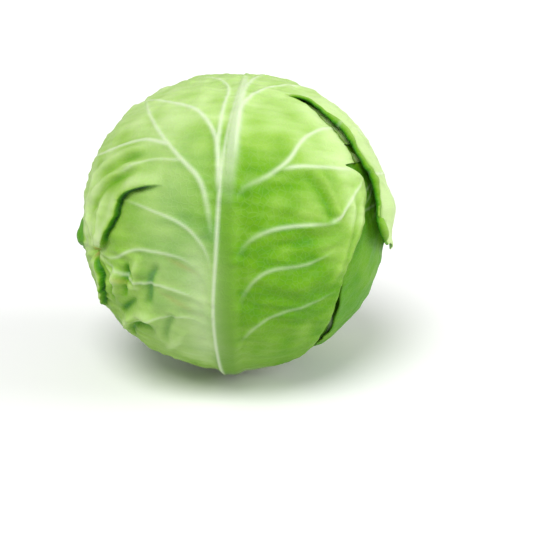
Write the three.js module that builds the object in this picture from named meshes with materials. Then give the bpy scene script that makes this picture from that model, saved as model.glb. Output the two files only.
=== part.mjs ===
// A round head of white cabbage, standing on its cut stem, built leaf by leaf.
//
// The head is a short cone of pale core that every leaf grows from, a small bud on top of the core, and
// cupped leaves that wrap round the bud and round each other. Each leaf is a slab bent onto the head: its
// middle faces out at the leaf's own azimuth, its foot reaches down to the core and its tip passes over the
// crown. A leaf lies one layer deeper wherever another leaf covers it, so the leaves never touch.
//
// Units are millimetres, +Z is up, and the origin is the middle of the cut face of the stem.

import * as THREE from "three";

const HEAD_RADIUS = 84; // half the width of the head, without its loose margins
const CROWN_HEIGHT = 80; // from the middle of the head to its crown
const FOOT_DEPTH = 78; // from the middle of the head to the leaf feet round the stem
const HEAD_MIDDLE = 82; // height of the middle of the head above the cut face
const ROUNDNESS = 2.2; // 2 is an ellipsoid, and more is squarer in the shoulders

const STEM_RADIUS = 16; // at the cut face
const CORE_RADIUS = 17; // at its widest, inside the head
const CORE_HEIGHT = 62;
const CORE_TIP_RADIUS = 5;
const CUT_BEVEL = 1.2;
const CORE_SIDES = 28;

const BUD_RADIUS = 14;
const BUD_HEIGHT = 38;
const BUD_GAP = 0.6; // between the core's tip and the bud

const DIVERGENCE = 137.5; // degrees from one leaf to the next round the stem
const CORE_CLEARANCE = 1.2; // between a leaf's foot and the core
const SQUIRCLE = 0.45; // how far the corners of a leaf's slab are rounded off: 0 is square, 0.5 is a disc
const FULL_COVER = 1.18; // a leaf covers what lies inside this share of its reach
const NO_COVER = 1.6; // and its layer has run out at this share

// The wrapper leaves, from the outside in. Reaches are degrees of arc from the middle of the leaf to its
// margin, and lower_right is the reach where the right margin is torn back below the middle.
const WRAPPER_LEAVES = [
  { azimuth: 0, elevation: 18, left: 99, right: 97, lower_right: 54, tip: 98 },
  { azimuth: 137.5, elevation: 14, left: 98, right: 68, lower_right: 68, tip: 86 },
  { azimuth: 275, elevation: 12, left: 86, right: 92, lower_right: 92, tip: 88 },
  { azimuth: 52.5, elevation: 16, left: 88, right: 86, lower_right: 86, tip: 84 },
  { azimuth: 190, elevation: 16, left: 88, right: 90, lower_right: 90, tip: 86 },
  { azimuth: 327.5, elevation: 16, left: 92, right: 90, lower_right: 90, tip: 88 },
];
// Pitch is a leaf's thickness and the gap under it, and crowding is the share of it that is left at the
// crown and the foot, where all the leaves meet.
const WRAPPER = { thickness: 1.2, pitch: 2.6, crowding: 0.85, segments: 14 };

// The leaves of the heart repeat one shape. The outermost of them are the widest, and have the finest mesh.
const INNER_LEAF_COUNT = 13;
const INNER_REACH = { left: 104, right: 104, lower_right: 104, tip: 98, elevation: 20 };
const INNER = { thickness: 2, pitch: 4.8, crowding: 0.7 };
const INNER_SEGMENTS = { most: 13, least: 10 };

const smoothstep = THREE.MathUtils.smoothstep;
const radians = THREE.MathUtils.degToRad;
const degrees = THREE.MathUtils.radToDeg;

// How far the skin of the head is from its middle, in the direction n.
function skinRadius(n) {
  const across = Math.hypot(n.x, n.y) / HEAD_RADIUS;
  const along = Math.abs(n.z) / (n.z > 0 ? CROWN_HEIGHT : FOOT_DEPTH);
  return (across ** ROUNDNESS + along ** ROUNDNESS) ** (-1 / ROUNDNESS);
}

// The half width of the core at a height above the cut face.
function coreRadius(z) {
  const shoulder = 0.3 * CORE_HEIGHT;
  if (z < shoulder) return THREE.MathUtils.lerp(STEM_RADIUS, CORE_RADIUS, z / shoulder);
  const rise = Math.min(1, (z - shoulder) / (CORE_HEIGHT - shoulder));
  return THREE.MathUtils.lerp(CORE_RADIUS, CORE_TIP_RADIUS, rise ** 1.5);
}

// Three unit vectors of a leaf: out through its middle, up along its midrib, and to its right as seen
// from outside.
function leafAxes({ azimuth, elevation }) {
  const a = radians(azimuth);
  const e = radians(elevation);
  return {
    out: new THREE.Vector3(Math.sin(a) * Math.cos(e), -Math.cos(a) * Math.cos(e), Math.sin(e)),
    up: new THREE.Vector3(-Math.sin(a) * Math.sin(e), Math.cos(a) * Math.sin(e), Math.cos(e)),
    right: new THREE.Vector3(Math.cos(a), Math.sin(a), 0),
  };
}

// Degrees of arc from the middle of the leaf to its margin, at an angle turned from its right towards its tip.
function reachAt(leaf, angle) {
  const torn = smoothstep(degrees(angle), -50, 16);
  const right = THREE.MathUtils.lerp(leaf.lower_right, leaf.right, torn);
  const side = Math.cos(angle) > 0 ? right : leaf.left;
  const end = Math.sin(angle) > 0 ? leaf.tip : leaf.foot;
  return side * Math.cos(angle) ** 2 + end * Math.sin(angle) ** 2;
}

// The direction from the middle of the head to a point of the leaf, given in degrees of arc from the
// leaf's middle, to its right and towards its tip.
function directionAt(leaf, x, y) {
  const arc = radians(Math.hypot(x, y));
  const turn = Math.atan2(y, x);
  return new THREE.Vector3()
    .addScaledVector(leaf.axes.out, Math.cos(arc))
    .addScaledVector(leaf.axes.right, Math.sin(arc) * Math.cos(turn))
    .addScaledVector(leaf.axes.up, Math.sin(arc) * Math.sin(turn));
}

// From 1 where the leaf covers the direction n to 0 well past its margin.
function coverAt(leaf, n) {
  const arc = degrees(n.angleTo(leaf.axes.out));
  const angle = Math.atan2(n.dot(leaf.axes.up), n.dot(leaf.axes.right));
  return 1 - smoothstep(arc / reachAt(leaf, angle), FULL_COVER, NO_COVER);
}

// The share of its full thickness that a leaf's layer has in the direction n.
function crowdingAt(leaf, n) {
  return THREE.MathUtils.lerp(1, leaf.crowding, smoothstep(Math.abs(n.z), 0.3, 0.95));
}

// How far a leaf's outer face is from the middle of the head, under all the leaves outside it.
function layerRadius(n, outerLeaves) {
  const layers = outerLeaves.map((leaf) => leaf.pitch * crowdingAt(leaf, n) * coverAt(leaf, n));
  return layers.reduce((radius, layer) => radius - layer, skinRadius(n));
}

// The reach of a leaf's foot, which stops beside the core at the height of the leaf's own layer.
function footReach(leaf, outerLeaves) {
  const down = directionAt(leaf, 0, -(75 + leaf.elevation));
  const radius = layerRadius(down, outerLeaves) - leaf.thickness;
  const height = HEAD_MIDDLE - radius;
  const coreArc = degrees(Math.atan2(coreRadius(height) + CORE_CLEARANCE, radius));
  return 90 + leaf.elevation - coreArc;
}

// A closed slab, rounded at its corners, bent onto the leaf's layer of the head.
function leafGeometry(leaf, outerLeaves) {
  const slab = new THREE.BoxGeometry(2, 2, 1, leaf.segments, leaf.segments, 1);
  const points = slab.getAttribute("position");
  for (let i = 0; i < points.count; i++) {
    const u = points.getX(i);
    const v = points.getY(i);
    const x = u * Math.sqrt(1 - SQUIRCLE * v * v);
    const y = v * Math.sqrt(1 - SQUIRCLE * u * u);
    const reach = reachAt(leaf, Math.atan2(y, x));
    const n = directionAt(leaf, x * reach, y * reach);
    const inwards = (0.5 - points.getZ(i)) * leaf.thickness * crowdingAt(leaf, n);
    n.multiplyScalar(layerRadius(n, outerLeaves) - inwards);
    points.setXYZ(i, n.x, n.y, n.z);
  }
  slab.computeVertexNormals();
  return slab;
}

// The stem's cut face, its bevelled rim, and the core that tapers up inside the head.
function stemGeometry() {
  const profile = [
    new THREE.Vector2(0, 0),
    new THREE.Vector2(STEM_RADIUS - CUT_BEVEL, 0),
    new THREE.Vector2(STEM_RADIUS, CUT_BEVEL),
  ];
  const rings = 8;
  for (let i = 1; i <= rings; i++) {
    const z = THREE.MathUtils.lerp(CUT_BEVEL, CORE_HEIGHT - 2, i / rings);
    profile.push(new THREE.Vector2(coreRadius(z), z));
  }
  profile.push(new THREE.Vector2(0, CORE_HEIGHT));
  return new THREE.LatheGeometry(profile, CORE_SIDES).rotateX(Math.PI / 2);
}

// The growing point: the last few leaves, folded too tight to part, in one egg shape.
function budGeometry() {
  const bud = new THREE.SphereGeometry(BUD_RADIUS, 20, 12).rotateX(Math.PI / 2);
  bud.scale(1, 1, BUD_HEIGHT / (2 * BUD_RADIUS));
  return bud;
}

const material = (color, roughness) =>
  new THREE.MeshStandardMaterial({ color, roughness, metalness: 0 });
const LEAF_GREEN = material(0x9fce6b, 0.5);
const INNER_GREEN = material(0xdfe8ae, 0.55);
const CORE_CREAM = material(0xeee9cf, 0.6);
const BUD_YELLOW = material(0xefeab0, 0.6);

function pieceMesh(name, geometry, finish, height) {
  const mesh = new THREE.Mesh(geometry, finish);
  mesh.name = name;
  mesh.position.z = height;
  return mesh;
}

const leaves = WRAPPER_LEAVES.map((shape, i) => ({
  ...shape,
  ...WRAPPER,
  name: `wrapper_leaf_${i + 1}`,
  finish: LEAF_GREEN,
}));
for (let i = 0; i < INNER_LEAF_COUNT; i++) {
  const number = leaves.length + 1;
  leaves.push({
    ...INNER_REACH,
    ...INNER,
    azimuth: ((number - 1) * DIVERGENCE) % 360,
    segments: Math.round(
      THREE.MathUtils.lerp(INNER_SEGMENTS.most, INNER_SEGMENTS.least, i / (INNER_LEAF_COUNT - 1)),
    ),
    name: `inner_leaf_${number}`,
    finish: INNER_GREEN,
  });
}

const cabbage = new THREE.Group();
cabbage.add(pieceMesh("stem", stemGeometry(), CORE_CREAM, 0));
cabbage.add(
  pieceMesh("heart_bud", budGeometry(), BUD_YELLOW, CORE_HEIGHT + BUD_GAP + BUD_HEIGHT / 2),
);
leaves.forEach((leaf, i) => {
  const outerLeaves = leaves.slice(0, i);
  leaf.axes = leafAxes(leaf);
  leaf.foot = footReach(leaf, outerLeaves);
  cabbage.add(pieceMesh(leaf.name, leafGeometry(leaf, outerLeaves), leaf.finish, HEAD_MIDDLE));
});

export default cabbage;
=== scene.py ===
import math
import random

import bmesh
import bpy
import numpy as np
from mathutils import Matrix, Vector
from mathutils.bvhtree import BVHTree


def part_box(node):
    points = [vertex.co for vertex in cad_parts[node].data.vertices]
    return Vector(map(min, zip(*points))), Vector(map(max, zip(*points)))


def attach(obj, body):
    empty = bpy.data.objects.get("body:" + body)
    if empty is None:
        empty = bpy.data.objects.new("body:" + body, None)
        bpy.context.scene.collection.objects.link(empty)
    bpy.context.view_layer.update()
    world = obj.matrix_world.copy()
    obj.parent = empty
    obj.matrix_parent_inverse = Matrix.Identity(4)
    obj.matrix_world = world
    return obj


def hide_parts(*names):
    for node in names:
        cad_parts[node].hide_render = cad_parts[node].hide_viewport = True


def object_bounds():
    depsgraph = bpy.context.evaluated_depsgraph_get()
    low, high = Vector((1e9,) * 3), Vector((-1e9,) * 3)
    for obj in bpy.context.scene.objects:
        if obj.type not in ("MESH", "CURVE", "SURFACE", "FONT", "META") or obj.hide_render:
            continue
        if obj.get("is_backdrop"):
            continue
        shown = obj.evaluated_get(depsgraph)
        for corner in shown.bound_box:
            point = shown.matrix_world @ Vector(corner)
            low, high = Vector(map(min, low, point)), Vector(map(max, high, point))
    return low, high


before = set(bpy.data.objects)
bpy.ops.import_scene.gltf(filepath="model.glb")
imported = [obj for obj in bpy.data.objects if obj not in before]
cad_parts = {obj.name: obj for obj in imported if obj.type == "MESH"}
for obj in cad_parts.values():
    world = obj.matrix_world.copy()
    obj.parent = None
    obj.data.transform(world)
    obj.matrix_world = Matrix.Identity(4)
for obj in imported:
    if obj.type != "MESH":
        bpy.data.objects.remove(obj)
cad_low, cad_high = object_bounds()

MM = 0.001


# ---- Camera ----
# It stands in front of the outermost leaf, a little above the head, and looks past the head's lower right.

HEAD_MIDDLE = 0.082  # height of the widest part of the head
CAMERA_ELEVATION = math.radians(18)
CAMERA_DISTANCE = 0.85
CAMERA_LENS = 100
AIM_RIGHT = 0.0220  # how far the camera looks to the right of the head's middle
AIM_BELOW = 0.0303

head_centre = Vector((0, 0, HEAD_MIDDLE))
camera_back = Vector((0, -math.cos(CAMERA_ELEVATION), math.sin(CAMERA_ELEVATION)))
camera_up = Vector((0, math.sin(CAMERA_ELEVATION), math.cos(CAMERA_ELEVATION)))
camera = bpy.data.objects.new("camera", bpy.data.cameras.new("camera"))
camera.data.lens = CAMERA_LENS
camera.data.clip_start = 0.01
camera.location = head_centre + camera_back * CAMERA_DISTANCE
aim = head_centre + Vector((AIM_RIGHT, 0, 0)) - camera_up * AIM_BELOW
camera.rotation_euler = (aim - camera.location).to_track_quat("-Z", "Y").to_euler()
bpy.context.collection.objects.link(camera)
bpy.context.scene.camera = camera


# ---- Floor and studio light ----
# A white floor that runs out of sight, a white surround, a broad soft light from above in front of the head,
# and a weaker one from the right. The floor throws back less light than it shows, so the head keeps its
# shading.

FLOOR_HALF_WIDTH = 6.0
SURROUND_LIGHT = 0.42
MAIN_LIGHT = 2.2
MAIN_LIGHT_FROM = Vector((-0.20, -0.48, 0.85))
SIDE_LIGHT = 1.5
SIDE_LIGHT_FROM = Vector((0.90, -0.12, 0.42))
LIGHT_WIDTH = math.radians(34)
FLOOR_SEEN = 0.95
FLOOR_BOUNCE = 0.72

floor_mesh = bmesh.new()
bmesh.ops.create_grid(floor_mesh, x_segments=1, y_segments=1, size=FLOOR_HALF_WIDTH)
floor = bpy.data.objects.new("floor", bpy.data.meshes.new("floor"))
floor_mesh.to_mesh(floor.data)
floor_mesh.free()
floor_paint = bpy.data.materials.new("floor_paint")
floor_paint.use_nodes = True
floor_tree = floor_paint.node_tree
floor_shader = floor_tree.nodes["Principled BSDF"]
floor_shader.inputs["Roughness"].default_value = 1.0
floor_shader.inputs["Specular IOR Level"].default_value = 0.0
floor_whiteness = floor_tree.nodes.new("ShaderNodeMapRange")
floor_whiteness.inputs["To Min"].default_value = FLOOR_BOUNCE
floor_whiteness.inputs["To Max"].default_value = FLOOR_SEEN
floor_tree.links.new(
    floor_tree.nodes.new("ShaderNodeLightPath").outputs["Is Camera Ray"], floor_whiteness.inputs["Value"]
)
floor_tree.links.new(floor_whiteness.outputs["Result"], floor_shader.inputs["Base Color"])
floor.data.materials.append(floor_paint)
bpy.context.collection.objects.link(floor)
floor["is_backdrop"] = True

surround = bpy.data.worlds.new("surround")
surround.use_nodes = True
surround_tree = surround.node_tree
surround_light = surround_tree.nodes.new("ShaderNodeMapRange")
surround_light.inputs["To Min"].default_value = SURROUND_LIGHT
surround_light.inputs["To Max"].default_value = 1.0
surround_tree.links.new(
    surround_tree.nodes.new("ShaderNodeLightPath").outputs["Is Camera Ray"], surround_light.inputs["Value"]
)
surround_background = surround_tree.nodes["Background"]
surround_background.inputs["Color"].default_value = (1, 1, 1, 1)
surround_tree.links.new(surround_light.outputs["Result"], surround_background.inputs["Strength"])
bpy.context.scene.world = surround
bpy.context.scene.view_settings.view_transform = "Standard"

for name, strength, source in (
    ("main_light", MAIN_LIGHT, MAIN_LIGHT_FROM),
    ("side_light", SIDE_LIGHT, SIDE_LIGHT_FROM),
):
    light = bpy.data.objects.new(name, bpy.data.lights.new(name, "SUN"))
    light.data.energy = strength
    light.data.angle = LIGHT_WIDTH
    light.rotation_euler = (-source).to_track_quat("-Z", "Y").to_euler()
    bpy.context.collection.objects.link(light)


# ---- Outermost wrapper leaf ----
# The leaf that faces the camera: pale green and waxy, with a thick midrib, whitish raised veins, a pleat that
# ends in a pinch on its left, and a long tear on its right, where the outer strip has curled its rim back.

HEAD_RADIUS = (cad_high.x - cad_low.x) / 2
CROWN_HEIGHT = cad_high.z - HEAD_MIDDLE
FOOT_DEPTH = 0.078
ROUNDNESS = 2.2
STEM_RADIUS = 0.016
CORE_RADIUS = 0.017
CORE_HEIGHT = 0.062
CORE_TIP_RADIUS = 0.005
CORE_CLEARANCE = 0.0012
SQUIRCLE = 0.45  # how far the corners of a leaf are rounded off
FULL_COVER = 1.18
NO_COVER = 1.6
DEGREE = 0.00147  # the length of a degree of arc on the head's skin
SHEET = 0.8 * MM  # thickness of a leaf
SHEET_GAP = 0.3 * MM
TYPICAL_REACH = 92  # degrees of arc from the middle of a leaf to its margin
UV_SPAN = 220  # degrees of arc across a leaf's UV square


def fade(value, start, end):
    """0 at start, 1 at end, and smooth between them."""
    t = np.clip((value - start) / (end - start), 0, 1)
    return t * t * (3 - 2 * t)


def hump(distance, width):
    return np.exp(-((distance / width) ** 2))


def skin_radius(n):
    """How far the skin of the head is from its middle, in the directions n."""
    across = np.hypot(n[:, 0], n[:, 1]) / HEAD_RADIUS
    along = np.abs(n[:, 2]) / np.where(n[:, 2] > 0, CROWN_HEIGHT, FOOT_DEPTH)
    return (across**ROUNDNESS + along**ROUNDNESS) ** (-1 / ROUNDNESS)


def core_radius(z):
    shoulder = 0.3 * CORE_HEIGHT
    if z < shoulder:
        return STEM_RADIUS + (CORE_RADIUS - STEM_RADIUS) * z / shoulder
    rise = min(1, (z - shoulder) / (CORE_HEIGHT - shoulder))
    return CORE_RADIUS + (CORE_TIP_RADIUS - CORE_RADIUS) * rise**1.5


class Leaf:
    """Where a cupped leaf grows, how far it reaches in degrees of arc, and how deep it lies.

    Places on a leaf are x and y in degrees from its middle, to its right as seen from outside and to its tip.
    """

    def __init__(self, azimuth, elevation, left, right, tip, outside, torn_right=None, inner=False):
        a, e = math.radians(azimuth), math.radians(elevation)
        self.out = np.array([math.sin(a) * math.cos(e), -math.cos(a) * math.cos(e), math.sin(e)])
        self.up = np.array([-math.sin(a) * math.sin(e), math.cos(a) * math.sin(e), math.cos(e)])
        self.across = np.array([math.cos(a), math.sin(a), 0])
        self.left, self.right, self.tip = left, right, tip
        self.torn_right = torn_right or right
        self.outside = list(outside)
        self.thickness, self.pitch, self.crowding = (2.0, 4.8, 0.7) if inner else (1.2, 2.6, 0.85)
        down = self.directions(np.array([0.0]), np.array([-75.0 - elevation]))
        radius = self.layer(down)[0] - self.thickness * MM
        core = core_radius(HEAD_MIDDLE - radius) + CORE_CLEARANCE
        self.foot = 90 + elevation - math.degrees(math.atan2(core, radius))

    def reach(self, angle, whole=False):
        right = self.right
        if not whole:
            torn = fade(np.degrees(angle), -50, 16)
            right = self.torn_right + (self.right - self.torn_right) * torn
        side = np.where(np.cos(angle) > 0, right, self.left)
        end = np.where(np.sin(angle) > 0, self.tip, self.foot)
        return side * np.cos(angle) ** 2 + end * np.sin(angle) ** 2

    def directions(self, x, y):
        arc, turn = np.radians(np.hypot(x, y)), np.arctan2(y, x)
        sideways = np.outer(np.sin(arc) * np.cos(turn), self.across)
        return np.outer(np.cos(arc), self.out) + sideways + np.outer(np.sin(arc) * np.sin(turn), self.up)

    def cover(self, n):
        """From 1 where the leaf covers the directions n to 0 well past its margin."""
        arc = np.degrees(np.arccos(np.clip(n @ self.out, -1, 1)))
        angle = np.arctan2(n @ self.up, n @ self.across)
        return 1 - fade(arc / self.reach(angle), FULL_COVER, NO_COVER)

    def depth(self, n):
        """The room that the leaf takes in the directions n, which is less where the leaves crowd."""
        crowded = 1 + (self.crowding - 1) * fade(np.abs(n[:, 2]), 0.3, 0.95)
        return self.pitch * MM * crowded * self.cover(n)

    def layer(self, n):
        return skin_radius(n) - sum(leaf.depth(n) for leaf in self.outside)


def softened(route):
    """The route with its corners cut off, so that it curves between the same two ends."""
    points = np.array(route, float)
    for _ in range(3):
        a, b = points[:-1], points[1:]
        cut = np.stack([0.75 * a + 0.25 * b, 0.25 * a + 0.75 * b], 1).reshape(-1, points.shape[1])
        points = np.vstack([points[:1], cut, points[-1:]])
    return points


class Sheet:
    """A leaf's blade while it is shaped: the place of each vertex, its lift off the layer, and its tints."""

    tints = ("tone", "vein", "rib", "brown")

    def __init__(self, x, y):
        self.x, self.y = x, y
        self.flat_x, self.flat_y = x.copy(), y.copy()
        self.lift = np.zeros(x.shape)
        # Besides the blade's own colour, tone also holds painted shade in folds, furrows, the pinch, under
        # the tear's rim and under outer leaves, and painted highlights on ridges and crests.
        self.tone = np.full(x.shape, 0.55)  # 0 is deep green and 1 is pale
        self.vein = np.zeros(x.shape)
        self.rib = np.zeros(x.shape)
        self.brown = np.zeros(x.shape)

    def beside(self, route, spread=16):
        """Distance to the route in degrees, positive on its left, the share of the way along it, and the
        direction away from it. Places further than the spread are left at the spread."""
        points = softened(route)
        distance = np.full(self.x.shape, float(spread))
        side, way = np.ones(self.x.shape), np.zeros(self.x.shape)
        away = np.zeros((2,) + self.x.shape)
        steps = np.diff(points, axis=0)
        lengths = np.hypot(steps[:, 0], steps[:, 1])
        starts = np.cumsum(lengths) - lengths
        low, high = points.min(0) - spread, points.max(0) + spread
        inside_x = (self.flat_x > low[0]) & (self.flat_x < high[0])
        near = np.nonzero(inside_x & (self.flat_y > low[1]) & (self.flat_y < high[1]))[0]
        x, y = self.flat_x[near], self.flat_y[near]
        for (ax, ay), (sx, sy), length, start in zip(points[:-1], steps, lengths, starts):
            t = np.clip(((x - ax) * sx + (y - ay) * sy) / length**2, 0, 1)
            dx, dy = x - ax - t * sx, y - ay - t * sy
            gap = np.hypot(dx, dy)
            closer = gap < distance[near]
            chosen = near[closer]
            distance[chosen] = gap[closer]
            side[chosen] = np.where(sx * dy[closer] - sy * dx[closer] < 0, -1, 1)
            way[chosen] = (start + t[closer] * length) / lengths.sum()
            away[:, chosen] = np.array([dx, dy])[:, closer] / np.maximum(gap[closer], 1e-6)
        return distance * side, way, away

    def add_vein(self, route, width, height, strength=1.0, faint_start=0.0):
        """A raised whitish vein that thins out along its route: width in degrees and height in mm. Over the
        share of the route given by faint_start it only gathers its colour."""
        distance, way, _ = self.beside(route)
        thin = 1 - 0.55 * way
        self.lift += height * MM * (1 - 0.6 * way) * hump(distance, width * thin)
        brightness = strength * (1 - 0.35 * way) * fade(way, -0.01, faint_start) * fade(way, 1.02, 0.7)
        self.vein = np.maximum(self.vein, brightness * hump(distance, 0.3 + 0.42 * width * thin))

    def widen_foot(self, leaf):
        """Where the leaf joins the stem its midrib spreads out into a thick, whitish base."""
        height = self.flat_y + leaf.foot
        base = hump(self.flat_x / (7 + 0.5 * height), 1.6) * fade(height, 26, 2)
        self.lift += 1.6 * MM * base
        self.vein = np.maximum(self.vein, 0.9 * base)

    def add_crease(self, route, width, height, tint=0.0):
        """A soft ridge, or a furrow where the height is below 0, that dies away at both ends of its route."""
        distance, way, _ = self.beside(route)
        body = fade(way, 0, 0.2) * fade(way, 1, 0.75) * hump(distance, width)
        self.lift += height * MM * body
        # The tint paints ridges paler and furrows darker: painted highlight and painted shade that follow the
        # relief.
        self.tone += tint * body

    def add_pleat(self, route, width, height, overhang, tint=-0.3):
        """A rolled fold: the blade on the route's left rises to a crest and leans over that on its right."""
        distance, way, away = self.beside(route, 5 * width)
        ends = fade(way, 0, 0.25) * fade(way, 1, 0.8)
        lip = fade(distance, -0.35, 0.5)
        crest = lip * hump(np.maximum(distance - 0.5 * width, 0), width)
        back = 0.35 * lip * hump(distance - 2.2 * width, 1.6 * width)
        self.lift += height * MM * ends * (crest + back)
        self.lift -= 0.35 * height * MM * ends * hump(np.minimum(distance, 0), 0.9 * width) * (1 - lip)
        lean = overhang * ends * crest
        self.x -= lean * away[0] * np.sign(distance)
        self.y -= lean * away[1] * np.sign(distance)
        # Painted shade: the fold under the leaning lip is painted darker.
        self.tone += tint * ends * hump(distance + 0.2, 0.8)
        # Painted highlight: the crest beside the fold is painted paler.
        self.tone += 0.22 * ends * hump(distance - width, 0.8 * width)


def ripples(x, y, seed, length):
    """Gentle bumps, about -1 to 1, from a few crossing waves of about that length."""
    draw = random.Random(seed)
    total = 0
    for _ in range(8):
        turn, phase = draw.uniform(0, 2 * math.pi), draw.uniform(0, 2 * math.pi)
        wave = 2 * math.pi / (length * draw.uniform(0.7, 1.7))
        total = total + np.sin((x * math.cos(turn) + y * math.sin(turn)) * wave + phase)
    return total / 3.5


def leaf_blank(cells):
    """A flat square of cells from -1 to 1, where the place of a vertex is its u and v."""
    blank = bmesh.new()
    bmesh.ops.create_grid(blank, x_segments=cells, y_segments=cells, size=1)
    return blank


def blank_places(blank):
    blank.verts.ensure_lookup_table()
    blank.verts.index_update()
    return np.array([w.co.x for w in blank.verts]), np.array([w.co.y for w in blank.verts])


def split_near(blank, x, y, routes, reach):
    """Splits in four the blank's cells that lie close to the routes, for smooth veins and sharp folds."""
    flat = Sheet(x, y)
    near = np.zeros(x.shape, bool)
    for route in routes:
        near |= np.abs(flat.beside(route, reach)[0]) < reach
    close = {edge for face in blank.faces if any(near[w.index] for w in face.verts) for edge in face.edges}
    edges = [edge for edge in blank.edges if edge in close]
    bmesh.ops.subdivide_edges(blank, edges=edges, cuts=1, use_grid_fill=True, use_single_edge=True)


def on_leaf(leaf, u, v, whole=False):
    """The place on the leaf, in degrees, of a place on its square blank."""
    x = u * np.sqrt(1 - SQUIRCLE * v * v)
    y = v * np.sqrt(1 - SQUIRCLE * u * u)
    reach = leaf.reach(np.arctan2(y, x), whole)
    return x * reach, y * reach


def loosen_margin(sheet, u, v, seed, rise):
    """Lets the outline wander a little, and lifts the margin in waves, in mm, except at the foot."""
    x, y = sheet.flat_x, sheet.flat_y
    inside = (1 - np.maximum(np.abs(u), np.abs(v))) * TYPICAL_REACH
    free = fade(v, -0.85, -0.45)
    wander = (1.6 * ripples(x, y, seed, 42) + 0.5 * ripples(x, y, seed + 1, 15)) * hump(inside, 7) * free
    turn = np.arctan2(y, x)
    sheet.x += wander * np.cos(turn)
    sheet.y += wander * np.sin(turn)
    sheet.lift += rise * MM * (1 + 1.2 * ripples(x, y, seed + 2, 28)) * hump(inside, 6) * free


def press_under(points, trees, clearance):
    """Pulls each point towards the head's middle until it lies under the sheets outside it."""
    for i, point in enumerate(points):
        radius = float(np.linalg.norm(point))
        limit = radius
        direction = Vector(point / radius)
        for tree in trees:
            hit = tree.ray_cast(head_centre, direction)
            if hit[0] is not None:
                limit = min(limit, hit[3] - clearance)
        if limit < radius:
            points[i] *= limit / radius


def make_leaf(name, leaf, blank, sheet, material, trees, sink=0.0):
    """Bends the blank onto the leaf's layer, gives it its thickness and its tints, and puts it in the scene
    on the root body in place of its part.
    """
    n = leaf.directions(sheet.x, sheet.y)
    points = n * (leaf.layer(n) - sink + sheet.lift)[:, None]
    press_under(points, trees, SHEET + SHEET_GAP)
    for vertex, point in zip(blank.verts, points):
        vertex.co = head_centre + Vector(point)
    uv = blank.loops.layers.uv.new("leaf")
    for face in blank.faces:
        face.smooth = True
        for loop in face.loops:
            i = loop.vert.index
            loop[uv].uv = (0.5 + sheet.flat_x[i] / UV_SPAN, 0.5 + sheet.flat_y[i] / UV_SPAN)
    piece = bpy.data.objects.new(name + "_blade", bpy.data.meshes.new(name + "_blade"))
    blank.to_mesh(piece.data)
    trees.append(BVHTree.FromBMesh(blank))
    blank.free()
    for tint in Sheet.tints:
        attribute = piece.data.attributes.new(tint, "FLOAT", "POINT")
        attribute.data.foreach_set("value", np.clip(getattr(sheet, tint), 0, 1).astype(np.float32))
    thickness = piece.modifiers.new("thickness", "SOLIDIFY")
    thickness.thickness = SHEET
    thickness.offset = -1
    piece.data.materials.append(material)
    bpy.context.collection.objects.link(piece)
    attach(piece, "root")
    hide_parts(name)


def mix_node(tree, factor, a, b):
    """Mixes two colours by a factor; each is a socket or a plain value."""
    mix = tree.nodes.new("ShaderNodeMix")
    mix.data_type = "RGBA"
    for place, value in zip((0, 6, 7), (factor, a, b)):
        if isinstance(value, bpy.types.NodeSocket):
            tree.links.new(value, mix.inputs[place])
        else:
            mix.inputs[place].default_value = value
    return mix.outputs[2]


def math_node(tree, operation, a, b=0.0, clamp=False):
    node = tree.nodes.new("ShaderNodeMath")
    node.operation = operation
    node.use_clamp = clamp
    for place, value in enumerate((a, b)):
        if isinstance(value, bpy.types.NodeSocket):
            tree.links.new(value, node.inputs[place])
        else:
            node.inputs[place].default_value = value
    return node.outputs[0]


def new_group(name, inputs, outputs):
    group = bpy.data.node_groups.new(name, "ShaderNodeTree")
    for socket, kind, value in inputs:
        made = group.interface.new_socket(socket, in_out="INPUT", socket_type=kind)
        if value is not None:
            made.default_value = value
    for socket, kind in outputs:
        group.interface.new_socket(socket, in_out="OUTPUT", socket_type=kind)
    return group, group.nodes.new("NodeGroupInput"), group.nodes.new("NodeGroupOutput")


def noise_node(tree, vector, scale, detail=3.0, roughness=0.55):
    noise = tree.nodes.new("ShaderNodeTexNoise")
    tree.links.new(vector, noise.inputs["Vector"])
    noise.inputs["Scale"].default_value = scale
    noise.inputs["Detail"].default_value = detail
    noise.inputs["Roughness"].default_value = roughness
    return noise.outputs["Fac"]


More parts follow.
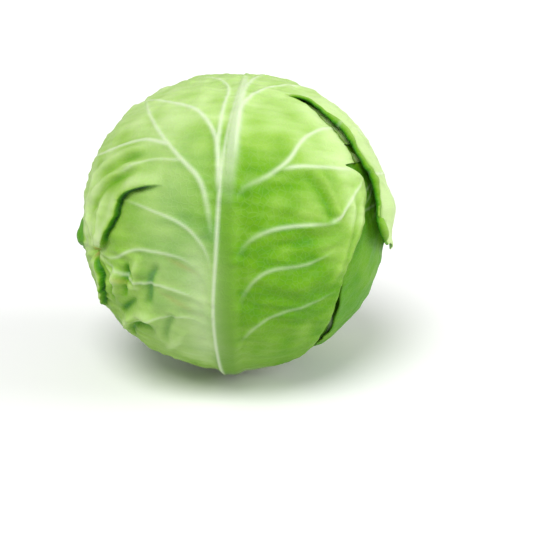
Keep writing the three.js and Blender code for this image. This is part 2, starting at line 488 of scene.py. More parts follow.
def make_leaf_tissue():
    """The fine pattern that all the leaves share: a net of small veins, mottling, and a waxy bloom."""
    group, given, result = new_group(
        "leaf_tissue",
        [("Vector", "NodeSocketVector", None), ("Net Scale", "NodeSocketFloat", 70.0)],
        [("Net", "NodeSocketFloat"), ("Mottle", "NodeSocketFloat"), ("Bloom", "NodeSocketFloat"),
         ("Height", "NodeSocketFloat")],
    )
    warp = group.nodes.new("ShaderNodeTexNoise")
    warp.inputs["Scale"].default_value = 18.0
    group.links.new(given.outputs["Vector"], warp.inputs["Vector"])
    shift = group.nodes.new("ShaderNodeVectorMath")
    shift.operation = "MULTIPLY_ADD"
    shift.inputs[1].default_value = (0.02, 0.02, 0.0)
    group.links.new(warp.outputs["Color"], shift.inputs[0])
    group.links.new(given.outputs["Vector"], shift.inputs[2])
    cells = group.nodes.new("ShaderNodeTexVoronoi")
    cells.feature = "DISTANCE_TO_EDGE"
    group.links.new(shift.outputs[0], cells.inputs["Vector"])
    group.links.new(given.outputs["Net Scale"], cells.inputs["Scale"])
    edge = group.nodes.new("ShaderNodeMapRange")
    edge.interpolation_type = "SMOOTHSTEP"
    for socket, value in (("From Min", 0.0), ("From Max", 0.13), ("To Min", 1.0), ("To Max", 0.0)):
        edge.inputs[socket].default_value = value
    group.links.new(cells.outputs["Distance"], edge.inputs["Value"])
    mottle = noise_node(group, given.outputs["Vector"], 26.0, 4.0)
    bloom = noise_node(group, given.outputs["Vector"], 9.0, 5.0, 0.65)
    grain = noise_node(group, given.outputs["Vector"], 420.0, 2.0)
    pucker = noise_node(group, given.outputs["Vector"], 60.0, 3.0)
    relief = math_node(group, "ADD", math_node(group, "MULTIPLY", edge.outputs[0], 0.5),
                       math_node(group, "MULTIPLY", grain, 0.12))
    relief = math_node(group, "ADD", relief, math_node(group, "MULTIPLY", pucker, 1.2))
    for socket, value in (("Net", edge.outputs[0]), ("Mottle", mottle), ("Bloom", bloom), ("Height", relief)):
        group.links.new(value, result.inputs[socket])
    return group


leaf_tissue = make_leaf_tissue()
BROWNED = (0.42, 0.27, 0.09)


def leaf_material(name, shades, vein_colour, rib_colour, net_scale=105.0):
    """Waxy leaf: the shades run from deep green at tone 0 to pale at tone 1."""
    material = bpy.data.materials.new(name)
    material.use_nodes = True
    tree = material.node_tree
    shader = tree.nodes["Principled BSDF"]
    uv = tree.nodes.new("ShaderNodeUVMap")
    uv.uv_map = "leaf"
    tissue = tree.nodes.new("ShaderNodeGroup")
    tissue.node_tree = leaf_tissue
    tissue.inputs["Net Scale"].default_value = net_scale
    tree.links.new(uv.outputs["UV"], tissue.inputs["Vector"])
    tints = {}
    for tint in Sheet.tints:
        attribute = tree.nodes.new("ShaderNodeAttribute")
        attribute.attribute_name = tint
        tints[tint] = attribute.outputs["Fac"]
    wander = math_node(tree, "MULTIPLY_ADD", tissue.outputs["Mottle"], 0.16)
    wander.node.inputs[2].default_value = -0.08
    tone = math_node(tree, "ADD", tints["tone"], wander, clamp=True)
    ramp = tree.nodes.new("ShaderNodeValToRGB")
    tree.links.new(tone, ramp.inputs["Fac"])
    while len(ramp.color_ramp.elements) < len(shades):
        ramp.color_ramp.elements.new(0.5)
    for element, (place, colour) in zip(ramp.color_ramp.elements, shades):
        element.position = place
        element.color = (*colour, 1)
    blade = ramp.outputs["Color"]
    net = math_node(tree, "MULTIPLY", tissue.outputs["Net"], 0.035)
    blade = mix_node(tree, net, blade, (*vein_colour, 1))
    blade = mix_node(tree, math_node(tree, "MULTIPLY", tints["rib"], 0.8), blade, (*rib_colour, 1))
    blade = mix_node(tree, math_node(tree, "MULTIPLY", tints["vein"], 0.85), blade, (*vein_colour, 1))
    blade = mix_node(tree, tints["brown"], blade, (*BROWNED, 1))
    tree.links.new(blade, shader.inputs["Base Color"])
    rough = math_node(tree, "MULTIPLY_ADD", tissue.outputs["Bloom"], 0.25)
    rough.node.inputs[2].default_value = 0.36
    tree.links.new(rough, shader.inputs["Roughness"])
    bump = tree.nodes.new("ShaderNodeBump")
    bump.inputs["Strength"].default_value = 0.35
    bump.inputs["Distance"].default_value = 0.4 * MM
    tree.links.new(tissue.outputs["Height"], bump.inputs["Height"])
    tree.links.new(bump.outputs["Normal"], shader.inputs["Normal"])
    shader.inputs["Specular IOR Level"].default_value = 0.22
    shader.inputs["Subsurface Weight"].default_value = 0.12
    shader.inputs["Subsurface Radius"].default_value = (0.6, 1.0, 0.25)
    shader.inputs["Subsurface Scale"].default_value = 3 * MM
    return material


wrapper_skin = leaf_material(
    "wrapper_skin",
    [
        (0.0, (0.012, 0.10, 0.001)),
        (0.12, (0.05, 0.27, 0.001)),
        (0.3, (0.145, 0.38, 0.003)),
        (0.6, (0.31, 0.55, 0.075)),
        (1.0, (0.60, 0.82, 0.33)),
    ],
    vein_colour=(0.76, 0.88, 0.62),
    rib_colour=(0.13, 0.32, 0.014),
)

front = Leaf(0, 18, left=99, right=97, tip=98, outside=[], torn_right=54)
leaves = [front]
trees = []

FRONT_CELLS = 168
TEAR_COLUMN = 0.5  # the column of the blank that the tear follows
TEAR_TOP = 0.63  # the row where the tear starts
STRIP_END = -0.14  # the row where the outer strip ends
# Row of the blank, and the place on the leaf: the margin of the leaf inside the tear, down to the foot.
INNER_MARGIN = [
    (0.63, 22.5, 56.5), (0.605, 28, 55.2), (0.57, 34.5, 53), (0.51, 43, 48.5), (0.45, 50, 42.5),
    (0.39, 54.5, 37), (0.30, 55.5, 29), (0.20, 55, 18.5), (0.14, 54.5, 13), (0.07, 52.5, 6), (0, 52, 0),
    (-0.06, 50, -6), (-0.13, 46, -13), (-0.2, 43, -20), (-0.35, 40, -34), (-0.55, 36, -52), (-0.75, 32, -70),
    (-1, 26, -88),
]
# Row, depth in degrees, and half height in rows: the short splits that run in from that margin.
INNER_SPLITS = [(0.335, 11, 0.038), (0.235, 13, 0.042)]
# The rim of the outer strip, from the top of the tear to the strip's loose end.
STRIP_RIM = [
    (0.63, 22.5, 56.5), (0.605, 28, 55.2), (0.57, 33.5, 52), (0.52, 37.2, 47), (0.46, 41, 41.5),
    (0.40, 44.7, 36), (0.34, 48, 31), (0.27, 51, 25.5), (0.19, 55, 18), (0.11, 57.5, 10), (0.03, 57, 4),
    (-0.03, 57, -1), (-0.09, 60, -6), (-0.14, 67, -11),
]


def torn_shift(margin, v):
    """How far the tear's column moves sideways and up, row by row, to lie on a margin."""
    rows, x, y = softened(margin)[::-1].T
    column_x, column_y = on_leaf(front, np.full(v.shape, TEAR_COLUMN), v, whole=True)
    top_x, top_y = on_leaf(front, np.array([TEAR_COLUMN]), np.array([TEAR_TOP]), whole=True)
    above = 1 - fade(v, TEAR_TOP, TEAR_TOP + 0.3)
    shift_x = np.where(v < TEAR_TOP, np.interp(v, rows, x) - column_x, (margin[0][1] - top_x) * above)
    shift_y = np.where(v < TEAR_TOP, np.interp(v, rows, y) - column_y, (margin[0][2] - top_y) * above)
    return shift_x, shift_y


def front_places(blank):
    """Row and column, place on the leaf, and side of the tear, of each vertex of the front leaf's blank."""
    u, v = blank_places(blank)
    centres = [max(f.calc_center_median().x for f in w.link_faces) for w in blank.verts]
    on_strip = (np.array(centres) > TEAR_COLUMN) & (u > TEAR_COLUMN - 1 / FRONT_CELLS)
    x, y = on_leaf(front, u, v, whole=True)
    inner_x, inner_y = torn_shift(INNER_MARGIN, v)
    strip_x, strip_y = torn_shift(STRIP_RIM, v)
    for row, depth, half in INNER_SPLITS:
        inner_x -= depth * np.clip(1 - np.abs(v - row) / half, 0, 1) * fade(u, 0.1, TEAR_COLUMN)
    inner_share = fade(u, -0.5, TEAR_COLUMN)
    strip_share = fade(u, 1.05, TEAR_COLUMN)
    x += np.where(on_strip, strip_share * strip_x, inner_share * inner_x)
    y += np.where(on_strip, strip_share * strip_y, inner_share * inner_y)
    across = np.clip((u - TEAR_COLUMN) / (1 - TEAR_COLUMN), 0, 1)
    ragged_end = 1.1 * np.sin(8 * across + 0.3) + 0.7 * np.sin(19 * across) - 3 * np.sin(np.pi * across)
    y += np.where(on_strip, ragged_end * fade(v, STRIP_END + 0.2, STRIP_END), 0)
    return u, v, x, y, on_strip


# The midrib, which is flat and broad at the foot, and the bright crest along its left edge.
MIDRIB = [(-4, -96), (-4.5, -60), (-4.5, -25), (-4, -8), (-3, 11), (-1, 31), (3, 55), (6, 80), (8, 98)]
MIDRIB_CREST = [
    (-7, -92), (-8, -60), (-9, -38), (-8.5, -25), (-7, -10), (-6, 8), (-3.5, 31), (1, 54), (5, 82), (7, 96),
]

# Side veins: width in degrees, height in mm, brightness, the share of the route over which it brightens, and
# the route out from the midrib.
FRONT_VEINS = [
    (1.6, 0.7, 0.9, 0.1, [(-7, 20), (-6, 34), (-5, 45), (-2, 61), (-7, 73), (-21, 86), (-30, 92)]),
    (1.8, 0.8, 1.0, 0.1, [(-6, 8), (-6, 28), (-10, 38), (-16, 46), (-24, 51), (-46, 62), (-60, 66)]),
    (2.0, 0.9, 1.0, 0.4,
     [(-8, -14), (-9, 2), (-12, 15), (-18, 21), (-24, 28), (-33, 40), (-42, 56), (-48, 70)]),
    (1.4, 0.6, 0.9, 0, [(-25, 29), (-34, 33), (-42, 33), (-56, 32), (-80, 34)]),
    (1.2, 0.6, 0.6, 0, [(-19, 22), (-30, 24), (-37, 22), (-48, 19)]),
    (1.6, 0.9, 0.9, 0.5, [(-9, -28), (-9, -13), (-14, -4), (-21, 1), (-29, 4), (-36, 7), (-46, 10)]),
    (1.5, 0.8, 0.8, 0.5,
     [(-10, -34), (-10, -22), (-14, -16), (-18, -13), (-24, -11), (-39, -9), (-50, -15), (-64, -12)]),
    (1.4, 0.8, 0.75, 0.4,
     [(-10, -42), (-11, -30), (-16, -26), (-28, -23), (-42, -23), (-50, -18), (-64, -13)]),
    (1.3, 0.7, 0.6, 0.4, [(-10, -50), (-12, -38), (-18, -35), (-25, -36), (-34, -38), (-52, -45)]),
    (2.6, 1.0, 1.0, 0.2, [(-1, 14), (0, 30), (2, 51), (7, 69), (16, 87), (22, 96)]),
    (1.8, 0.8, 1.0, 0.2, [(0, 22), (1, 34), (2, 46), (8, 56), (20, 66), (40, 74), (58, 76)]),
    (1.7, 0.8, 1.0, 0.45,
     [(-1, 5), (2, 12), (8, 14), (14, 18), (19, 22), (24, 30), (30, 35), (41, 40), (52, 43)]),
    (1.2, 0.6, 0.95, 0.2, [(14, 18), (23, 20), (32, 20), (50, 21)]),
    (1.4, 0.7, 0.9, 0.6, [(-1, -14), (3, -7), (8, -4), (14, -2), (26, -1), (38, -1)]),
    (1.3, 0.7, 0.85, 0.3, [(31, -1), (37, 0), (41, 4), (46, 11), (54, 19)]),
    (1.2, 0.6, 0.5, 0.4, [(0, -32), (3, -24), (8, -18), (15, -16), (26, -16), (38, -10)]),
    (1.1, 0.5, 0.4, 0.3, [(0, -50), (5, -40), (14, -34), (26, -32), (40, -27)]),
    (1.2, 0.5, 0.8, 0.3, [(51, 43), (60, 45), (70, 44), (82, 46), (90, 44)]),
    (1.1, 0.5, 0.8, 0.3, [(54, 21), (64, 21), (76, 25), (88, 24)]),
    (0.9, 0.4, 0.6, 0.2, [(65, 21), (73, 13), (81, 8), (90, 5)]),
    (0.9, 0.4, 0.6, 0.2, [(61, 45), (68, 54), (73, 61), (78, 66)]),
]

# The pleat on the left, the pinch that it ends in, and the tuck below the pinch.
PLEAT = [(-65, -12), (-57, -9), (-50, -2), (-46, 5), (-45, 10), (-39, 13), (-32, 14), (-25, 13)]
PINCH = (-65, -12)
TUCK = [(-72, -46), (-64, -36), (-60, -28), (-60, -22), (-63, -17), (-66, -11)]

blank = leaf_blank(FRONT_CELLS)
lost = [
    f for f in blank.faces
    if f.calc_center_median().x > TEAR_COLUMN and f.calc_center_median().y < STRIP_END
]
bmesh.ops.delete(blank, geom=lost, context="FACES")
torn = [
    e for e in blank.edges
    if all(abs(w.co.x - TEAR_COLUMN) < 1e-4 and w.co.y < TEAR_TOP + 1 / FRONT_CELLS for w in e.verts)
    and len(e.link_faces) == 2
]
bmesh.ops.split_edges(blank, edges=torn)
rim = [(px, py) for _, px, py in STRIP_RIM]
_, _, x, y, _ = front_places(blank)
split_near(blank, x, y, [route for *_, route in FRONT_VEINS] + [MIDRIB_CREST, PLEAT, TUCK, rim], 2.0)
_, _, x, y, _ = front_places(blank)
split_near(blank, x, y, [PLEAT, TUCK], 1.4)
u, v, x, y, on_strip = front_places(blank)
sheet = Sheet(x, y)

# Tints, place by place: how pale the blade is there, and how wide the patch is. Mostly the blade's own
# colour; the darker patches right of the midrib are partly painted shade.
FRONT_TONES_AND_SHADE = [
    (0, 75, 22, 0.82), (-35, 60, 18, 0.85), (-65, 30, 14, 0.72), (-70, 5, 12, 0.80), (-40, 25, 10, 0.60),
    (-12, 25, 8, 0.48), (-35, 0, 12, 0.50), (-13, 0, 8, 0.32), (-24, -8, 8, 0.36), (-14, -28, 10, 0.52),
    (-48, -34, 12, 0.54), (-30, -20, 8, 0.46), (-72, -28, 9, 0.62), (8, 15, 8, 0.34), (10, -10, 9, 0.32),
    (8, -30, 9, 0.26), (25, -22, 11, 0.18), (40, -12, 9, 0.48), (32, 8, 7, 0.42), (48, 8, 7, 0.75),
    (14, 26, 6, 0.42), (20, 38, 11, 0.72), (38, 46, 9, 1.0), (45, 30, 8, 0.95), (62, 50, 14, 1.0),
    (80, 10, 14, 1.0), (20, -55, 16, 0.35), (-15, -60, 18, 0.6),
]

weights = [(hump(np.hypot(x - px, y - py), size) + 1e-4, tone) for px, py, size, tone in FRONT_TONES_AND_SHADE]
sheet.tone = sum(weight * tone for weight, tone in weights) / sum(weight for weight, _ in weights)
sheet.tone += 0.06 * ripples(x, y, 14, 11) + 0.05 * ripples(0.3 * x, y, 15, 4)
sheet.tone = np.maximum(sheet.tone, 0.24)

distance, way, _ = sheet.beside(MIDRIB)
rib_width = np.interp(way, [0, 0.35, 0.55, 1], [7.0, 4.0, 2.4, 1.2])
rib_height = np.interp(way, [0, 0.35, 0.55, 1], [2.6, 1.5, 1.1, 0.5])
rib_body = np.exp(-((distance / rib_width) ** 4))
sheet.lift += rib_height * MM * rib_body
sheet.rib = rib_body * np.interp(way, [0, 0.45, 0.7], [1, 0.9, 0.2])
sheet.vein = 0.75 * rib_body * fade(way, 0.5, 0.66) * fade(way, 0.98, 0.8)
veil = 0.35 * hump(x + 13, 6) * fade(y, 5, -20) + 0.2 * hump(x + 25, 13) * fade(y, 55, 30)
sheet.vein = np.maximum(sheet.vein, veil * fade(y, -75, -45))
sheet.add_vein(MIDRIB_CREST, 1.5, 0.7, 1.0)
sheet.widen_foot(front)
for width, height, strength, faint_start, route in FRONT_VEINS:
    sheet.add_vein(route, width, height, strength, faint_start)

# Soft ridges and furrows: width in degrees, height in mm, tint (painted highlight on a ridge, painted shade
# in a furrow), and route.
FRONT_CREASES = [
    (2.2, 1.7, 0.18, [(-32, 30), (-46, 28), (-60, 24), (-70, 19)]),
    (1.9, -1.4, -0.26, [(-33, 27), (-47, 25), (-62, 20)]),
    (1.8, 1.5, 0.16, [(-30, 24), (-45, 21), (-60, 16), (-70, 9)]),
    (1.7, -1.5, -0.30, [(-34, 20), (-50, 17), (-62, 10), (-68, 2)]),
    (1.6, 0.9, 0.14, [(-62, 28), (-70, 12), (-74, -4)]),
    (1.8, -0.6, -0.05, [(2, -80), (1.5, -40), (1.5, -8), (3, 11), (4.5, 28)]),
    (2.0, -1.9, -0.16, [(23, 19), (29, 13), (33, 7), (37, -3)]),
    (1.8, 1.3, 0.16, [(28, 20), (34, 12), (38, 4), (40, -3)]),
    (2.2, 1.0, 0.10, [(18, 11), (25, 7), (31, 1)]),
    (1.6, 0.8, 0.10, [(10, 6), (20, 5), (27, 2)]),
    (2.6, -1.2, -0.10, [(6, 8), (16, 12), (26, 17)]),
    (2.6, -1.3, -0.08, [(4, -12), (16, -8), (30, -6), (40, -4)]),
    (1.4, 0.8, 0.08, [(12, -10), (24, -10), (38, -8)]),
    (1.3, 0.9, 0.16, [(43, 14), (46, 5), (45, -6), (40, -18), (33, -28)]),
    (1.2, 0.8, 0.16, [(50, 12), (50, 2), (47, -9), (41, -22)]),
    (1.6, -0.8, -0.14, [(47, 12), (48, 3), (46, -7), (41, -19)]),
    (3.0, 1.2, 0.05, [(6, -20), (20, -24), (36, -20)]),
    (1.5, -2.3, -0.36, [(-28, -14), (-33, -20), (-34, -28), (-37, -35)]),
    (1.5, 2.3, 0.24, [(-37, -12), (-39, -20), (-40, -28)]),
    (1.4, -2.4, -0.40, [(-43, -14), (-45, -22), (-47, -32)]),
    (1.6, 2.2, 0.22, [(-49, -16), (-50, -24), (-54, -33)]),
    (1.4, -1.9, -0.36, [(-53, -20), (-54, -28), (-57, -36)]),
    (1.9, 2.5, 0.24, [(-30, -41), (-40, -37), (-50, -43), (-58, -56)]),
    (1.6, -2.6, -0.40, [(-33, -46), (-43, -43), (-51, -50), (-54, -60)]),
    (1.6, -2.1, -0.38, [(-40, -30), (-46, -34), (-53, -40)]),
    (1.5, -1.8, -0.34, [(-24, -34), (-29, -42), (-31, -52)]),
    (1.5, 1.5, 0.16, [(-20, -42), (-25, -50), (-34, -58)]),
    (1.3, 1.8, 0.22, [(-65, -12), (-60, -5), (-57, 3), (-54, 12)]),
    (1.3, 1.5, 0.20, [(-66, -12), (-70, -2), (-70, 8)]),
    (1.3, 1.7, 0.20, [(-65, -12), (-56, -18), (-46, -25), (-36, -26)]),
]
for width, height, tint, route in FRONT_CREASES:
    sheet.add_crease(route, width, height, tint)

# The pleat leans over the blade on its right, and the tuck over the crumpled corner; both have painted shade
# in the fold and a painted highlight on the crest.
sheet.add_pleat(PLEAT, 2.6, 3.4, 1.6, -0.6)
sheet.add_pleat(TUCK, 2.2, 2.6, 0.8, -0.55)
pinch_distance = np.hypot(sheet.flat_x - PINCH[0], sheet.flat_y - PINCH[1])
pinch_turn = np.arctan2(sheet.flat_y - PINCH[1], sheet.flat_x - PINCH[0])
sheet.brown = 0.55 * hump(pinch_distance - 1.5, 1.6) * fade(np.sin(3 * pinch_turn), -0.4, 0.8)
for px, py, length in ((-20, -15, 5), (-23, -29, 6), (-47, -23, 3)):
    aside = sheet.flat_x - px
    sheet.brown += 0.3 * hump(aside, length) * hump(sheet.flat_y - py + 0.5 * aside, 1.0)
sheet.lift -= 2.6 * MM * hump(pinch_distance, 4.0)
sheet.lift += 0.7 * MM * np.cos(7 * pinch_turn + 0.8) * hump(pinch_distance - 7, 5.5)
# Painted shade: the sunken pinch is painted darker.
sheet.tone -= 0.25 * hump(pinch_distance, 3.0)

# The blade swells and ripples between its veins, more in the crumpled corner low on the left.
calm = (1 - 0.75 * np.clip(sheet.vein + sheet.rib, 0, 1)) * (1 - 0.6 * fade(sheet.flat_x, 50, 75))
crumpled = 0.6 + 1.3 * hump(np.hypot(sheet.flat_x + 48, sheet.flat_y + 28), 20)
sheet.lift += 0.8 * MM * calm * crumpled * ripples(sheet.flat_x, sheet.flat_y, 3, 15)
sheet.lift += 0.35 * MM * calm * crumpled * ripples(sheet.flat_x, sheet.flat_y, 8, 6)
sheet.lift += 0.10 * MM * calm * crumpled * ripples(sheet.flat_x, sheet.flat_y, 9, 3)
sheet.lift += 0.28 * MM * calm * ripples(0.3 * sheet.flat_x, sheet.flat_y, 12, 4)

# The tear: the strip stands proud and rolls its rim back, and the margin under it sinks. Its colour holds the
# greener rolled rim and painted shade under the roll.
distance, way, away = sheet.beside(rim, 45)
tucked = fade(distance * DEGREE, -2.5 * MM, 1.5 * MM) * fade(way, 0.01, 0.1)
distance = np.abs(distance) * DEGREE
unevenness = 0.24 * np.sin(way * 23) + 0.09 * np.sin(way * 51 + 1)
rolls = fade(way, 0.02, 0.3) * fade(way, 1, 0.88) * (1 + unevenness)
roll_radius = (0.3 + 1.25 * rolls) * MM
roll_length = 3.3 * roll_radius
turned = np.clip((roll_length - distance) / roll_radius, 0, 3.3)
flat_part = distance - (roll_length - roll_radius) * (1 - fade(distance, roll_length, roll_length + 9 * MM))
rolled = np.where(distance < roll_length, roll_radius * (1 - np.sin(turned)), flat_part)
rolling = fade(way, 0, 0.04) * fade(way, 1, 0.92)
moved = np.where(on_strip, rolled - distance, 0) / DEGREE * rolling
sheet.x += moved * away[0]
sheet.y += moved * away[1]
proud = (0.8 + 2.4 * fade(way, 0.3, 0.9)) * MM * hump(distance, 16 * MM)
curl = np.where(distance < roll_length, roll_radius * (1 - np.cos(turned)), 0) * fade(way, 1, 0.92)
flap = fade(sheet.flat_y, 34, 12) * fade(sheet.flat_y, -24, -10) * fade(sheet.flat_x, 60, 74)
ruffle = 2.6 * MM * flap * fade(sheet.flat_x, 97, 84) * (1 + 0.5 * np.sin(np.radians(sheet.flat_y * 13)))
sheet.lift += np.where(on_strip, (proud + curl) * fade(way, 0, 0.08) + ruffle, 0)
# Across the rolled rim: the rim's own greener colour, then a dark band of painted shade under the roll, then
# the pale strip.
rim_tone_and_shade = np.interp(
    distance / roll_length, [0, 0.3, 0.48, 0.62, 1.0, 1.5, 2.2], [0.5, 0.42, 0.26, 0.02, 0.04, 0.45, 1.0]
)
rim_tone_and_shade += 0.35 * unevenness * hump(distance / roll_length, 0.5)
sheet.tone = np.where(on_strip, np.minimum(sheet.tone, rim_tone_and_shade + 0.6 * fade(way, 0.04, 0)), sheet.tone)
near_tear = distance < 14 * MM
margin_dip = 0.9 * MM * hump(distance, 5 * MM) * fade(way, 0.04, 0.2) + 1.3 * MM * tucked
sheet.lift -= np.where(~on_strip & near_tear, margin_dip, 0)
# Painted shadow: a dark line along the margin that lies under the strip's rim.
sheet.tone -= np.where(~on_strip, 0.6 * hump(distance, 1.5 * MM) * fade(way, 0, 0.06), 0)

# Behind the pinch the left margin is torn back a little, and its greener lip has turned out.
lip = hump(sheet.flat_y + 4, 7.5) * fade(u, -0.55, -1)
lip_inside = (1 + u) * TYPICAL_REACH
sheet.x += 10 * lip
sheet.y -= 5 * lip
sheet.lift += 2.4 * MM * lip * hump(lip_inside, 6)
turned_out = fade(hump(sheet.flat_y + 4, 7.5), 0.1, 0.35) * fade(lip_inside, 11, 8)
sheet.tone += (0.2 - sheet.tone) * turned_out
loosen_margin(sheet, u, v, 33, 0.9)

make_leaf("wrapper_leaf_1", front, blank, sheet, wrapper_skin, trees)


# ---- The other wrapper leaves ----
# Five more waxy green leaves, each wrapped under the ones outside it, with veins that branch from a midrib,
# a puckered blade, and a margin that lifts where no leaf holds it down.

# Azimuth, elevation, reaches to the left, right and tip in degrees, and how pale the leaf is.
WRAPPERS = [
    (137.5, 14, 98, 68, 86, 0.48),
    (275, 12, 86, 92, 88, 0.56),
    (52.5, 16, 88, 86, 84, 0.50),
    (190, 16, 88, 90, 86, 0.55),
    (327.5, 16, 92, 90, 88, 0.50),
]
WRAPPER_CELLS = 148
SIDE_VEINS = 7
# A side vein's course, as shares of how far it spreads and how far it rises.
SIDE_COURSE = [(0, 0), (0.05, 0.26), (0.17, 0.52), (0.36, 0.74), (0.6, 0.92), (0.82, 1.0), (1, 1.02)]


def grown_veins(leaf, seed):
    """The midrib's route, and the side veins, which leave it by turns on each side, arch out and fork."""
    draw = random.Random(seed)
    midrib = [(draw.uniform(-2, 2), -leaf.foot), (draw.uniform(-2, 2), -50), (draw.uniform(-3, 3), 0),
              (draw.uniform(-5, 5), 50), (draw.uniform(-8, 8), leaf.tip * 0.98)]
    rows = softened(midrib)
    veins = []
    for side in (-1, 1):
        width = leaf.left if side < 0 else leaf.right
        for i in range(SIDE_VEINS):
            start_y = -78 + (i + 0.5 * (side > 0)) * 21 + draw.uniform(-4, 4)
            start_x = np.interp(start_y, rows[:, 1], rows[:, 0])
            slant = math.radians(min(abs(start_y + 25), 75)) * 0.8
            spread = width * draw.uniform(0.72, 0.9) * math.cos(slant)
            rise = draw.uniform(26, 44)
            route = [(start_x + side * spread * across + draw.uniform(-1.5, 1.5) * across,
                      start_y + rise * up + draw.uniform(-3, 3) * across) for across, up in SIDE_COURSE]
            veins.append((1.5, 0.8, 0.8, route))
            forks = ((2, draw.uniform(6, 14)), (3, draw.uniform(-20, -10)), (4, draw.uniform(6, 12)))
            for fork, climb in forks:
                start, ahead = np.array(route[fork]), np.array(route[fork + 1])
                course = (ahead - start) / np.linalg.norm(ahead - start) * spread * draw.uniform(0.4, 0.55)
                branch = [
                    tuple(start + course * t + np.array([0, climb * t**1.8])) for t in (0, 0.25, 0.5, 0.75, 1)
                ]
                veins.append((1.0, 0.45, 0.5, branch))
    return midrib, veins


def grow_veins(sheet, leaf, midrib, veins, scale=1.0):
    distance, way, _ = sheet.beside(midrib, 24)
    rib_width = np.interp(way, [0, 0.3, 0.6, 1], [8.0, 4.4, 2.2, 1.0]) * scale
    rib_height = np.interp(way, [0, 0.3, 0.6, 1], [2.6, 1.6, 0.9, 0.3]) * scale
    body = np.exp(-((distance / rib_width) ** 4))
    sheet.lift += rib_height * MM * body
    sheet.rib = body * np.interp(way, [0, 0.5, 1], [0.8, 0.5, 0.1])
    sheet.add_vein(midrib, 1.8 * scale, 0.5, 0.85)
    sheet.widen_foot(leaf)
    for width, height, strength, route in veins:
        sheet.add_vein(route, width * scale, height * scale, strength)


for number, (azimuth, elevation, left, right, tip, tone) in enumerate(WRAPPERS, 2):
    leaf = Leaf(azimuth, elevation, left, right, tip, outside=leaves)
    blank = leaf_blank(WRAPPER_CELLS)
    midrib, veins = grown_veins(leaf, number)
    split_near(blank, *on_leaf(leaf, *blank_places(blank)), [route for *_, route in veins] + [midrib], 1.8)
    u, v = blank_places(blank)
    x, y = on_leaf(leaf, u, v)
    sheet = Sheet(x, y)
    grow_veins(sheet, leaf, midrib, veins)
    covered = np.clip(sum(other.cover(leaf.directions(x, y)) for other in leaves), 0, 1)
    calm = 1 - 0.75 * np.clip(sheet.vein + sheet.rib, 0, 1)
    swell = 1.1 * ripples(x, y, 10 + number, 15) + 0.4 * ripples(x, y, 20 + number, 6)
    sheet.lift += calm * swell * MM
    loosen_margin(sheet, u, v, 30 + 3 * number, 1.3)
    sheet.lift *= 1 - 0.5 * covered
    sheet.tone = tone + 0.09 * ripples(x, y, 60 + number, 40) + 0.05 * ripples(x, y, 70 + number, 14)
    # Painted shade: where outer leaves cover it, the leaf is painted darker.
    sheet.tone = np.maximum(sheet.tone - 0.28 * covered, 0.22)
    make_leaf(f"wrapper_leaf_{number}", leaf, blank, sheet, wrapper_skin, trees)
    leaves.append(leaf)


# ---- The leaves of the heart ----
# Thirteen pale leaves, packed inside each other round the bud, crinkled because they grew too wide for the
# room they have. Their green fades towards the middle of the head.

INNER_LEAVES = 13
DIVERGENCE = 137.5
INNER_CELLS = 84
NEAREST_SHEETS = 5  # how many of the sheets outside it a heart leaf is kept clear of

heart_skin = leaf_material(
    "heart_skin",
    [
        (0.0, (0.30, 0.55, 0.10)),
        (0.4, (0.55, 0.75, 0.28)),
        (0.7, (0.76, 0.85, 0.48)),
        (1.0, (0.86, 0.86, 0.58)),
    ],
    vein_colour=(0.86, 0.88, 0.70),
    rib_colour=(0.84, 0.86, 0.66),
)

for i in range(INNER_LEAVES):
    number = len(leaves) + 1
    leaf = Leaf((number - 1) * DIVERGENCE % 360, 20, 104, 104, 98, outside=leaves, inner=True)
    blank = leaf_blank(INNER_CELLS)
    x, y = on_leaf(leaf, *blank_places(blank))
    sheet = Sheet(x, y)
    grow_veins(sheet, leaf, *grown_veins(leaf, number), 0.9)
    sheet.lift *= 0.4
    calm = 1 - 0.6 * np.clip(sheet.vein + sheet.rib, 0, 1)
    sheet.lift += MM * calm * (0.6 * ripples(x, y, 60 + i, 18) + 0.4 * ripples(x, y, 80 + i, 9))
    sheet.tone = 0.15 + 0.75 * i / INNER_LEAVES + 0.1 * ripples(x, y, 90 + i, 40)
    nearest = trees[-NEAREST_SHEETS:]
    make_leaf(f"inner_leaf_{number}", leaf, blank, sheet, heart_skin, nearest, sink=0.5 * MM)
    trees.append(nearest[-1])
    leaves.append(leaf)


# ---- The bud ----
# The growing point over the tip of the core: the last small leaves, wrapped too tight to part, pale yellow.

bud_low, bud_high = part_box("heart_bud")
BUD_WRAPS = 5
BUD_TWIST = 1.4

bud_blank = bmesh.new()
bmesh.ops.create_uvsphere(bud_blank, u_segments=64, v_segments=40, radius=1)
bud_middle = (bud_low + bud_high) / 2
bud_half = (bud_high - bud_low) / 2
for vertex in bud_blank.verts:
    turn = math.atan2(vertex.co.y, vertex.co.x)
    wrap = (turn * BUD_WRAPS / (2 * math.pi) + BUD_TWIST * vertex.co.z) % 1
    waist = math.hypot(vertex.co.x, vertex.co.y)
    size = 1 - 0.10 * waist * (1 - wrap) ** 3 - 0.02
    vertex.co = bud_middle + Vector([c * s * size for c, s in zip(vertex.co, bud_half)])
for face in bud_blank.faces:
    face.smooth = True
bud = bpy.data.objects.new("bud", bpy.data.meshes.new("bud"))
bud_blank.to_mesh(bud.data)
bud_blank.free()


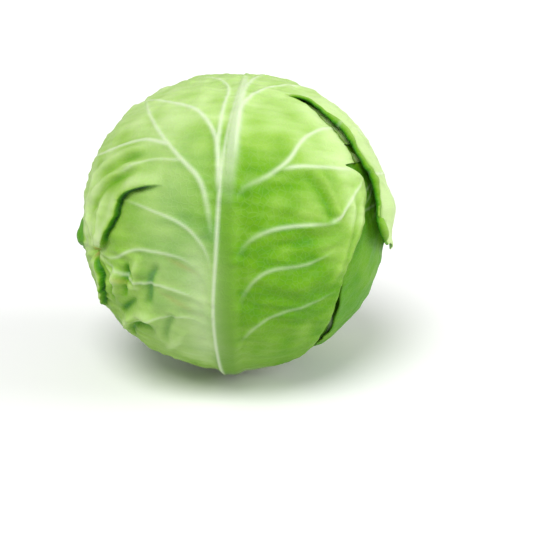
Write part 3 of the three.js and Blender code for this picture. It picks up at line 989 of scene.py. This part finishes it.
def flesh_material(name, shades, scale, bump_height):
    """Moist cut or unopened plant flesh: a soft mottle between its shades and a fine fibrous relief."""
    material = bpy.data.materials.new(name)
    material.use_nodes = True
    tree = material.node_tree
    shader = tree.nodes["Principled BSDF"]
    place = tree.nodes.new("ShaderNodeTexCoord").outputs["Object"]
    mottle = noise_node(tree, place, scale, 5.0)
    ramp = tree.nodes.new("ShaderNodeValToRGB")
    tree.links.new(mottle, ramp.inputs["Fac"])
    for element, (spot, colour) in zip(ramp.color_ramp.elements, shades):
        element.position = spot
        element.color = (*colour, 1)
    tree.links.new(ramp.outputs["Color"], shader.inputs["Base Color"])
    stretch = tree.nodes.new("ShaderNodeMapping")
    stretch.inputs["Scale"].default_value = (1, 1, 0.2)
    tree.links.new(place, stretch.inputs["Vector"])
    fibres = noise_node(tree, stretch.outputs["Vector"], scale * 6, 3.0)
    bump = tree.nodes.new("ShaderNodeBump")
    bump.inputs["Distance"].default_value = bump_height
    tree.links.new(fibres, bump.inputs["Height"])
    tree.links.new(bump.outputs["Normal"], shader.inputs["Normal"])
    rough = math_node(tree, "MULTIPLY_ADD", fibres, 0.2)
    rough.node.inputs[2].default_value = 0.42
    tree.links.new(rough, shader.inputs["Roughness"])
    shader.inputs["Subsurface Weight"].default_value = 0.3
    shader.inputs["Subsurface Radius"].default_value = (1.0, 0.9, 0.5)
    shader.inputs["Subsurface Scale"].default_value = 3 * MM
    return material


bud.data.materials.append(
    flesh_material("bud_flesh", [(0.35, (0.72, 0.74, 0.30)), (0.7, (0.86, 0.85, 0.52))], 90, 0.3 * MM)
)
bpy.context.collection.objects.link(bud)
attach(bud, "root")
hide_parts("heart_bud")


# ---- The stem and core ----
# One tapering cone of white fibrous flesh: its cut face is what the head stands on, and its sides carry the
# scars of the leaves that were pulled off. Cut flat across with a knife.

CORE_SIDES = 96
CORE_RINGS = 44
CUT_BEVEL = 1.2 * MM
BARK = (0.50, 0.62, 0.26)  # the green skin of the stem
# On the cut face, from the middle outwards: pith, the darker ring of vessels, and the flesh under the skin.
CUT_RINGS = [(0.0, 0.0), (0.66, 0.1), (0.76, 1.0), (0.86, 0.15), (1.0, 0.0)]
CUT_STAIN = (0.60, 0.52, 0.27)

core_blank = bmesh.new()
bmesh.ops.create_cone(
    core_blank, cap_ends=True, segments=CORE_SIDES, radius1=STEM_RADIUS, radius2=CORE_TIP_RADIUS,
    depth=CORE_HEIGHT,
)
bmesh.ops.translate(core_blank, verts=core_blank.verts, vec=(0, 0, CORE_HEIGHT / 2))
walls = [e for e in core_blank.edges if abs(e.verts[0].co.z - e.verts[1].co.z) > CORE_HEIGHT / 2]
bmesh.ops.subdivide_edges(core_blank, edges=walls, cuts=CORE_RINGS)
caps = [f for f in core_blank.faces if len(f.verts) == CORE_SIDES]
for cap in caps:
    for _ in range(8):
        bmesh.ops.inset_region(core_blank, faces=[cap], thickness=cap.calc_perimeter() / (2 * math.pi) * 0.2)
for vertex in core_blank.verts:
    turn = math.atan2(vertex.co.y, vertex.co.x)
    radius = math.hypot(vertex.co.x, vertex.co.y)
    z = vertex.co.z
    wall = STEM_RADIUS + (CORE_TIP_RADIUS - STEM_RADIUS) * z / CORE_HEIGHT
    share = radius / wall
    fluted = core_radius(z) * (1 - 0.025 * (1 + math.sin(5 * turn + 60 * z)))
    low = max(0.0, 1 - z / CUT_BEVEL)
    fluted -= CUT_BEVEL * low * low
    vertex.co.x = math.cos(turn) * fluted * share
    vertex.co.y = math.sin(turn) * fluted * share
for face in core_blank.faces:
    face.smooth = True
bmesh.ops.recalc_face_normals(core_blank, faces=core_blank.faces)
core = bpy.data.objects.new("stem_and_core", bpy.data.meshes.new("stem_and_core"))
core_blank.to_mesh(core.data)
core_blank.free()
core_flesh = flesh_material(
    "core_flesh", [(0.3, (0.70, 0.68, 0.42)), (0.7, (0.86, 0.84, 0.66))], 70, 0.25 * MM
)
core_tree = core_flesh.node_tree
core_shader = core_tree.nodes["Principled BSDF"]
flat_place = core_tree.nodes.new("ShaderNodeVectorMath")
flat_place.operation = "MULTIPLY"
flat_place.inputs[1].default_value = (1, 1, 0)
core_tree.links.new(core_tree.nodes.new("ShaderNodeTexCoord").outputs["Object"], flat_place.inputs[0])
from_axis = core_tree.nodes.new("ShaderNodeVectorMath")
from_axis.operation = "LENGTH"
core_tree.links.new(flat_place.outputs["Vector"], from_axis.inputs[0])
share = math_node(core_tree, "DIVIDE", from_axis.outputs["Value"], STEM_RADIUS)
rings = core_tree.nodes.new("ShaderNodeValToRGB")
core_tree.links.new(share, rings.inputs["Fac"])
while len(rings.color_ramp.elements) < len(CUT_RINGS):
    rings.color_ramp.elements.new(0.5)
for element, (place, strength) in zip(rings.color_ramp.elements, CUT_RINGS):
    element.position = place
    element.color = (strength, strength, strength, 1)
flesh = core_shader.inputs["Base Color"].links[0].from_socket
ringed = mix_node(core_tree, rings.outputs["Color"], flesh, (*CUT_STAIN, 1))
skin = core_tree.nodes.new("ShaderNodeMapRange")
for socket, value in (("From Min", 0.93), ("From Max", 0.98), ("To Max", 0.7)):
    skin.inputs[socket].default_value = value
core_tree.links.new(share, skin.inputs["Value"])
skinned = mix_node(core_tree, skin.outputs["Result"], ringed, (*BARK, 1))
core_tree.links.new(skinned, core_shader.inputs["Base Color"])
core.data.materials.append(core_flesh)
bpy.context.collection.objects.link(core)
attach(core, "root")
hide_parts("stem")


# ---- Bounds ----

low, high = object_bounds()
